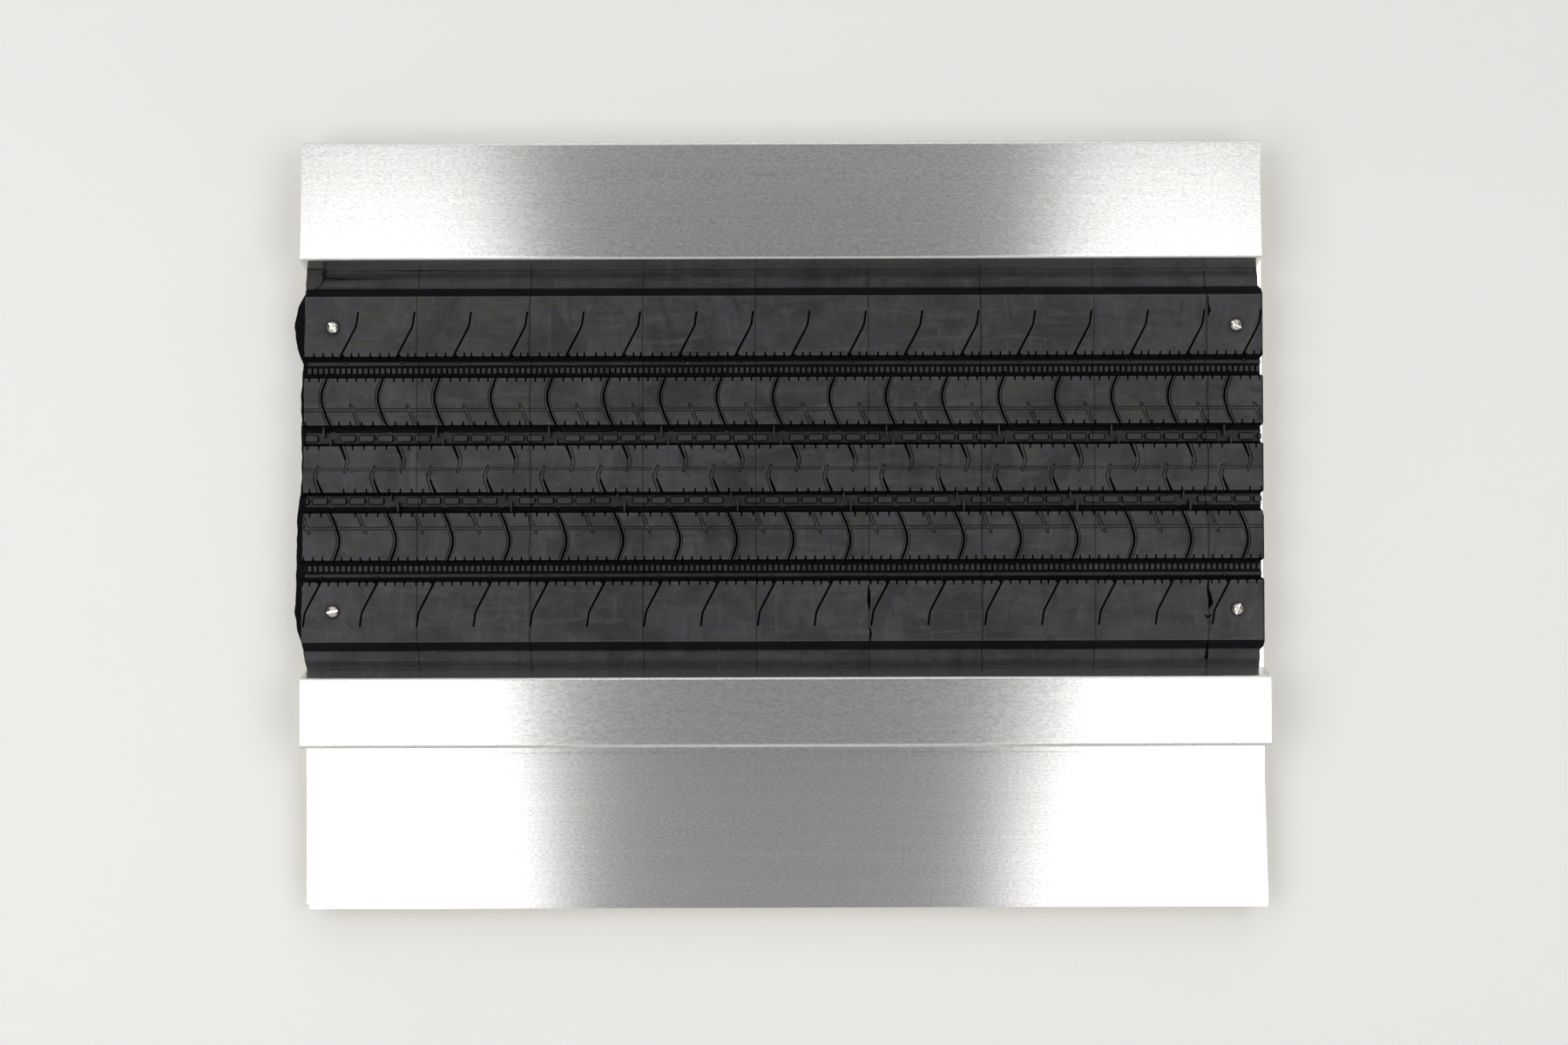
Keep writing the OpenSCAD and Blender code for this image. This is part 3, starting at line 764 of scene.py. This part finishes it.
class Shader:
    """A small helper that builds a material from nodes."""

    def __init__(self, name):
        self.mat = bpy.data.materials.new(name)
        self.mat.use_nodes = True
        self.tree = self.mat.node_tree
        self.tree.nodes.clear()
        self.out = self.tree.nodes.new("ShaderNodeOutputMaterial")
        self.bsdf = self.tree.nodes.new("ShaderNodeBsdfPrincipled")
        self.tree.links.new(self.bsdf.outputs[0], self.out.inputs["Surface"])
        self.coords = self.tree.nodes.new("ShaderNodeTexCoord").outputs["Object"]

    def link(self, a, b):
        self.tree.links.new(a, b)
        return b

    def scaled(self, scale):
        node = self.tree.nodes.new("ShaderNodeMapping")
        node.inputs["Scale"].default_value = scale if hasattr(scale, "__len__") else (scale,) * 3
        self.link(self.coords, node.inputs["Vector"])
        return node.outputs[0]

    def noise(self, scale, detail=3.0, rough=0.5, distortion=0.0):
        node = self.tree.nodes.new("ShaderNodeTexNoise")
        node.inputs["Scale"].default_value = 1.0
        node.inputs["Detail"].default_value = detail
        node.inputs["Roughness"].default_value = rough
        node.inputs["Distortion"].default_value = distortion
        self.link(self.scaled(scale), node.inputs["Vector"])
        return node.outputs["Fac"]

    def voronoi(self, scale, output="Distance"):
        """Distance to a cell's point, or with Color one random value for each cell."""
        node = self.tree.nodes.new("ShaderNodeTexVoronoi")
        node.inputs["Scale"].default_value = 1.0
        self.link(self.scaled(scale), node.inputs["Vector"])
        return node.outputs[output]

    def ramp(self, value, stops):
        """Maps the range of the first two numbers to the last two, clamped."""
        node = self.tree.nodes.new("ShaderNodeMapRange")
        for key, stop in zip(("From Min", "From Max", "To Min", "To Max"), stops):
            node.inputs[key].default_value = stop
        self.link(value, node.inputs["Value"])
        return node.outputs[0]

    def math(self, kind, a, b):
        node = self.tree.nodes.new("ShaderNodeMath")
        node.operation = kind
        for value, socket in ((a, node.inputs[0]), (b, node.inputs[1])):
            if hasattr(value, "default_value"):
                self.link(value, socket)
            else:
                socket.default_value = value
        return node.outputs[0]

    def mix(self, factor, a, b, kind="MIX"):
        node = self.tree.nodes.new("ShaderNodeMix")
        node.data_type = "RGBA"
        node.blend_type = kind
        for value, socket in ((factor, node.inputs[0]), (a, node.inputs[6]), (b, node.inputs[7])):
            if hasattr(value, "default_value"):
                self.link(value, socket)
            elif hasattr(value, "__len__"):
                socket.default_value = (*value, 1)
            else:
                socket.default_value = value
        return node.outputs[2]

    def attribute(self, name):
        node = self.tree.nodes.new("ShaderNodeAttribute")
        node.attribute_name = name
        return node.outputs["Fac"]

    def bump(self, height, strength, distance):
        node = self.tree.nodes.new("ShaderNodeBump")
        node.inputs["Strength"].default_value = strength
        node.inputs["Distance"].default_value = distance
        self.link(height, node.inputs["Height"])
        self.link(node.outputs[0], self.bsdf.inputs["Normal"])

    def set(self, **values):
        for key, value in values.items():
            socket = self.bsdf.inputs[key.replace("_", " ").title().replace("Ior", "IOR")]
            if hasattr(value, "default_value"):
                self.link(value, socket)
            elif hasattr(value, "__len__") and len(value) == 3:
                socket.default_value = (*value, 1)
            else:
                socket.default_value = value


def rubber(name, gloss, deep):
    """Moulded rubber; the walls, floors and cut faces use a duller one."""
    s = Shader(name)
    tone = s.attribute("tone")
    torn = s.attribute("torn")
    cloud = s.noise((20, 20, 26), 4, 0.6, 0.8)
    patch = s.noise((52, 52, 70), 4, 0.6, 0.8)
    streak = s.noise((22, 60, 120), 5, 0.68, 1.6)
    smear = s.noise((60, 60, 21), 4, 0.7, 2.2)
    grain = s.noise(1300, 3, 0.7)
    colour = s.mix(s.ramp(patch, (0.48, 0.66, 0, 1)), cool_rubber, warm_rubber)
    colour = s.mix(s.ramp(cloud, (0.36, 0.64, 0, 1)), s.mix(1.0, colour, (0.50, 0.50, 0.53), "MULTIPLY"),
                   s.mix(1.0, colour, (1.50, 1.50, 1.46), "MULTIPLY"))
    colour = s.mix(s.ramp(streak, (0.50, 0.68, 0, 0.55)), colour, dust_and_highlight_rubber)
    colour = s.mix(s.ramp(smear, (0.54, 0.68, 0, 0.45)), colour, dust_and_highlight_rubber)
    colour = s.mix(s.ramp(smear, (0.44, 0.30, 0, 0.7)), colour, inky_rubber)
    facet = s.math("MULTIPLY", s.ramp(s.voronoi((75, 75, 52), "Color"), (0.72, 0.76, 0, 0.60)),
                   s.ramp(s.noise((12, 12, 20), 2, 0.5), (0.46, 0.58, 0.1, 1)))
    colour = s.mix(facet, colour, inky_rubber)
    colour = s.mix(s.ramp(grain, (0.40, 0.72, 0, 0.30)), colour, dust_and_highlight_rubber)
    # Fine scratches: thin lines where two noises cross, only here and there
    scratch = s.math("ABSOLUTE", s.math("SUBTRACT", s.noise((48, 48, 130), 2, 0.5, 2.5), 0.5), 0.0)
    where = s.ramp(s.noise((16, 16, 22), 2, 0.5), (0.56, 0.70, 0, 0.4))
    scratch = s.math("MULTIPLY", s.ramp(scratch, (0.007, 0.002, 0, 1)), where)
    colour = s.mix(scratch, colour, scratch_colour)
    # Tone above 1 turns towards the dust and highlight colour: along the rib edges a painted highlight,
    # partly dusty worn edges; towards tone 0 the deep colour, partly clean rubber and partly painted
    # shade
    colour = s.mix(s.ramp(tone, (1.0, 1.6, 0, 1)), colour, dust_and_highlight_rubber)
    colour = s.mix(tone, deep, colour)
    # Tan dust specks
    speck = s.ramp(s.voronoi(190), (0.085, 0.05, 0, 1))
    patchy = s.ramp(s.noise(60, 2), (0.55, 0.68, 0, 1.0))
    colour = s.mix(s.math("MULTIPLY", speck, patchy), colour, dust_colour)
    colour = s.mix(s.math("MULTIPLY", torn, 0.5), colour, torn_rubber)
    rough = s.ramp(streak, (0.3, 0.75, 0.42, 0.56))
    s.set(base_color=colour, roughness=rough, metallic=0.0, ior=1.5)
    s.bsdf.inputs["Specular IOR Level"].default_value = gloss
    fine = s.math("MULTIPLY", grain, 0.5)
    dents = s.noise(220, 4, 0.7)
    s.bump(s.math("ADD", fine, dents), 0.30, 0.00018)
    return s.mat


def brushed(name, tint, roughness, aniso, streak_depth):
    """Sheet metal brushed along x; reflections are drawn out across the brush lines."""
    s = Shader(name)
    lines_fine = s.noise((9, 900, 900), 3, 0.7)
    lines_wide = s.noise((2.6, 190, 190), 4, 0.7)
    cloud = s.noise((5, 5, 9), 3, 0.5)
    speck = s.noise((420, 1000, 1000), 2, 0.8)
    bright = tuple(min(1.0, c * 1.045) for c in tint)
    dull = tuple(c * 0.95 for c in tint)
    colour = s.mix(s.ramp(lines_fine, (0.32, 0.68, 0, 1)), dull, bright)
    colour = s.mix(s.ramp(lines_wide, (0.38, 0.66, 0, 0.6)), colour, tuple(c * 0.92 for c in tint))
    colour = s.mix(s.ramp(speck, (0.38, 0.50, 0.40, 0)), colour, tuple(c * 0.62 for c in tint))
    colour = s.mix(s.ramp(speck, (0.52, 0.66, 0, 0.50)), colour, (1.0, 0.99, 0.97))
    rough = s.ramp(s.math("ADD", s.math("MULTIPLY", lines_wide, 0.6), s.math("MULTIPLY", cloud, 0.4)),
                   (0.35, 0.65, roughness * 0.98, roughness * 1.02))
    s.set(base_color=colour, metallic=1.0, roughness=rough, anisotropic=aniso)
    across = s.tree.nodes.new("ShaderNodeVectorMath")
    across.operation = "CROSS_PRODUCT"
    s.link(s.tree.nodes.new("ShaderNodeNewGeometry").outputs["Normal"], across.inputs[0])
    across.inputs[1].default_value = (1, 0, 0)
    s.link(across.outputs[0], s.bsdf.inputs["Tangent"])
    s.bump(s.math("ADD", lines_fine, s.math("MULTIPLY", speck, 0.8)), streak_depth, 0.00005)
    return s.mat


def metal(name, tint, roughness, worn):
    """Plated or turned metal of the screws, dulled here and there."""
    s = Shader(name)
    cloud = s.noise(90, 4, 0.6)
    fine = s.noise(2100, 3, 0.6)
    colour = s.mix(s.ramp(cloud, (0.35, 0.68, 0, 1)), tint, worn)
    rough = s.ramp(fine, (0.3, 0.7, roughness * 0.8, roughness * 1.25))
    s.set(base_color=colour, metallic=1.0, roughness=rough)
    s.bump(fine, 0.25, 0.00004)
    return s.mat


def wood(name, long_axis):
    """Pale birch ply with its grain along one axis."""
    s = Shader(name)
    stretch = (16, 120, 120) if long_axis == "x" else (120, 120, 16)
    ring = s.noise(stretch, 5, 0.6, 1.6)
    pore = s.noise(tuple(c * 7 for c in stretch), 2, 0.6)
    ply = s.noise((1, 700, 1), 1, 0.5)
    colour = s.mix(s.ramp(ring, (0.32, 0.68, 0, 1)), (0.62, 0.46, 0.29), (0.74, 0.60, 0.42))
    colour = s.mix(s.ramp(pore, (0.62, 0.75, 0, 0.5)), colour, (0.42, 0.28, 0.16))
    colour = s.mix(s.ramp(ply, (0.45, 0.55, 0, 0.16)), colour, (0.50, 0.35, 0.20))
    s.set(base_color=colour, metallic=0.0, roughness=s.ramp(pore, (0.3, 0.7, 0.48, 0.66)))
    s.bump(s.math("ADD", ring, pore), 0.35, 0.00025)
    return s.mat


def soft(name, colour_a, colour_b, scale, roughness):
    """Foam or felt."""
    s = Shader(name)
    cell = s.voronoi(scale)
    cloud = s.noise(scale * 0.2, 3, 0.6)
    colour = s.mix(s.ramp(cloud, (0.3, 0.7, 0, 1)), colour_a, colour_b)
    s.set(base_color=colour, metallic=0.0, roughness=s.ramp(cell, (0, 0.8, roughness - 0.08, roughness)))
    s.bump(cell, 0.8, 0.0003)
    return s.mat


def plain(name, colour, roughness, spread):
    """Wall and floor paint with a very faint mottle; returns the Shader itself."""
    s = Shader(name)
    cloud = s.noise(1.6, 3, 0.5)
    other = tuple(c * (1 - spread) for c in colour)
    s.set(base_color=s.mix(s.ramp(cloud, (0.3, 0.7, 0, 1)), colour, other), roughness=roughness)
    s.bump(s.noise(700, 2, 0.5), 0.1, 0.0002)
    return s


def paint(names, material):
    for name in names:
        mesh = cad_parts[name].data
        mesh.materials.clear()
        mesh.materials.append(material)


sheet_metal = brushed("brushed_aluminium", (0.86, 0.845, 0.83), 0.22, 0.80, 0.03)
paint(["upper_cover", "rail_cover", "apron_sheet", "backing_sheet"], sheet_metal)
paint(["wall_rail", "hanger_rail"], brushed("mill_aluminium", (0.72, 0.72, 0.73), 0.34, 0.45, 0.5))
paint(["tread_screw_1", "tread_screw_2", "tread_screw_3", "tread_screw_4"],
      metal("slotted_steel", (0.78, 0.75, 0.70), 0.22, (0.55, 0.52, 0.47)))
paint(["hanger_screws", "cover_screws", "backing_screws", "rail_screws"],
      metal("zinc_plate", (0.70, 0.71, 0.74), 0.30, (0.58, 0.60, 0.62)))
paint(["frame_screws", "tread_inserts"],
      metal("insert_brass", (0.80, 0.62, 0.30), 0.28, (0.62, 0.45, 0.20)))
paint(["top_batten", "lower_batten", "bottom_batten"], wood("birch_across", "x"))
paint(["left_stile", "right_stile"], wood("birch_upright", "z"))
paint(["apron_tape"], soft("foam_tape", (0.78, 0.78, 0.76), (0.70, 0.70, 0.68), 2400, 0.9))
paint(["wall_bumpers"], soft("felt", (0.16, 0.16, 0.17), (0.22, 0.22, 0.23), 1800, 0.95))

tread = build_tread()
tread.data.materials.append(rubber("tread_rubber", 0.32, deep_rubber))
tread.data.materials.append(rubber("cut_rubber", 0.0, cut_rubber))
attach(tread, "panel")
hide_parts("rubber_tread")


# ------------------------------------------------------------------ wall, floor, light and camera
def sheet_plane(name, corners, material):
    mesh = bpy.data.meshes.new(name)
    mesh.from_pydata(corners, [], [tuple(range(len(corners)))])
    obj = bpy.data.objects.new(name, mesh)
    mesh.materials.append(material)
    bpy.context.scene.collection.objects.link(obj)
    return obj


wall_half = 3.0
wall_height = 4.0
floor_half = 8
floor_z = panel_z - 0.95
# The wall is clear from behind, so that the panel's back can be looked at
wall_paint = plain("wall_paint", (0.927, 0.922, 0.903), 0.85, 0.02)
see_through = wall_paint.tree.nodes.new("ShaderNodeBsdfTransparent")
choose = wall_paint.tree.nodes.new("ShaderNodeMixShader")
facing = wall_paint.tree.nodes.new("ShaderNodeNewGeometry")
wall_paint.link(facing.outputs["Backfacing"], choose.inputs[0])
wall_paint.link(wall_paint.bsdf.outputs[0], choose.inputs[1])
wall_paint.link(see_through.outputs[0], choose.inputs[2])
wall_paint.link(choose.outputs[0], wall_paint.out.inputs["Surface"])
wall_top = floor_z + wall_height
backdrop = sheet_plane("backdrop", [(-wall_half, 0, floor_z), (wall_half, 0, floor_z),
                                    (wall_half, 0, wall_top), (-wall_half, 0, wall_top)],
                       wall_paint.mat)
backdrop.visible_shadow = False
backdrop.visible_diffuse = False
floor_paint = plain("floor_paint", (0.80, 0.80, 0.79), 0.9, 0.02)
sheet_plane("floor", [(x * floor_half, y * floor_half, floor_z)
                      for x, y in ((-1, -1), (1, -1), (1, 1), (-1, 1))], floor_paint.mat)

# The camera stands a little low and is rolled a little, as in the photograph
camera_gap = 1.45
tilt = math.radians(1.0)
roll = math.radians(0.177)
aim = Vector((-0.6 * MM, face_y, panel_z + 1.75 * MM))
eye = aim + Vector((0, -camera_gap, -camera_gap * math.tan(tilt)))
lens = bpy.data.cameras.new("camera")
lens.lens = 50.0
lens.sensor_width = 36.0
camera = bpy.data.objects.new("camera", lens)
bpy.context.scene.collection.objects.link(camera)
camera.rotation_mode = "QUATERNION"
camera.location = eye
turned = (aim - eye).to_track_quat("-Z", "Y").to_matrix() @ Matrix.Rotation(-roll, 3, "Z")
camera.rotation_quaternion = turned.to_quaternion()
bpy.context.scene.camera = camera


def glow(name, corners, strength):
    """A soft light panel: a glowing plane that the camera doesn't see."""
    mat = bpy.data.materials.new(name)
    mat.use_nodes = True
    mat.node_tree.nodes.clear()
    out = mat.node_tree.nodes.new("ShaderNodeOutputMaterial")
    emit = mat.node_tree.nodes.new("ShaderNodeEmission")
    emit.inputs["Color"].default_value = (1, 1, 1, 1)
    emit.inputs["Strength"].default_value = strength
    mat.node_tree.links.new(emit.outputs[0], out.inputs["Surface"])
    obj = sheet_plane(name, corners, mat)
    obj.visible_camera = False
    return obj


def side_light(name, side, inner, low, high, strength, outer):
    """One upright part of a side light; its inner edge runs through the given points."""
    edge = [(x, z) for x, z in inner if low < z < high]
    ends = [(float(np.interp(z, [q[1] for q in inner], [q[0] for q in inner])), z) for z in (low, high)]
    outline = [ends[0]] + edge + [ends[1]] + [(outer, high), (outer, low)]
    glow(name, [(side * x, box_y, panel_z + z) for x, z in outline], strength)


def room_part(name, low, high, strength):
    """A dim upright part of the room, seen only as a reflection in the sheets."""
    half = 0.5
    glow(name, [(-half, room_y, panel_z + low), (-half, room_y, panel_z + high),
                (half, room_y, panel_z + high), (half, room_y, panel_z + low)], strength)


# Side lights: half height, place, where their upper part turns soft, and their inner edges as x, z

box_half = 0.70
box_y = eye.y - 0.02
room_y = eye.y - 0.6
split_z = 0.17
soft_width = 0.30
inner_left = [(0.300, -box_half), (0.318, -0.40), (0.380, -0.20),
              (0.345, 0.30), (0.345, 0.50), (0.420, box_half)]
inner_right = [(0.285, -box_half), (0.300, -0.40), (0.420, -0.20),
               (0.365, 0.30), (0.342, 0.50), (0.410, box_half)]
dim_power = 1.85
for side, inner, label, power, outer in ((-1, inner_left, "left", 2.2, 1.9),
                                         (1, inner_right, "right", 2.15, 1.5)):
    middle = [(x + soft_width, z) for x, z in inner]
    side_light("soft_%s_low" % label, side, inner, -box_half, split_z, power, outer)
    side_light("soft_%s_high" % label, side, middle, split_z, box_half, power, outer)
    side_light("soft_%s_dim" % label, side, inner, split_z, box_half, dim_power, 0.345 + soft_width)
room_part("room_low", -0.9, 0.1, 0.26)
room_part("room_high", 0.1, 1.1, 0.20)
glow("soft_top", [(-1.0, -1.6, panel_z + 1.15), (0.8, -1.6, panel_z + 1.15), (0.8, -0.9, panel_z + 1.55),
                  (-1.0, -0.9, panel_z + 1.55)], 1.1)
ceiling_z = panel_z + 2.7
ceiling_x, ceiling_y = 3.2, 4.5
glow("ceiling", [(x * ceiling_x, y * ceiling_y, ceiling_z)
                 for x, y in ((-1, -1), (1, -1), (1, 1), (-1, 1))], 0.75)
glow("soft_back", [(-1.6, 2.6, panel_z - 0.3), (1.8, 2.6, panel_z - 0.3), (1.8, 2.2, panel_z + 1.5),
                   (-1.6, 2.2, panel_z + 1.5)], 1.5)

# The world is pale where the camera sees it and dim as a light
world = bpy.data.worlds.new("world")
bpy.context.scene.world = world
world.use_nodes = True
wt = world.node_tree
wt.nodes.clear()
w_out = wt.nodes.new("ShaderNodeOutputWorld")
dim = wt.nodes.new("ShaderNodeBackground")
dim.inputs[0].default_value = (0.12, 0.117, 0.116, 1)
pale = wt.nodes.new("ShaderNodeBackground")
pale.inputs[0].default_value = (0.80, 0.80, 0.79, 1)
which = wt.nodes.new("ShaderNodeMixShader")
path = wt.nodes.new("ShaderNodeLightPath")
wt.links.new(path.outputs["Is Camera Ray"], which.inputs[0])
wt.links.new(dim.outputs[0], which.inputs[1])
wt.links.new(pale.outputs[0], which.inputs[2])
wt.links.new(which.outputs[0], w_out.inputs[0])

bpy.context.scene.view_settings.view_transform = "Standard"
bpy.context.scene.view_settings.look = "None"
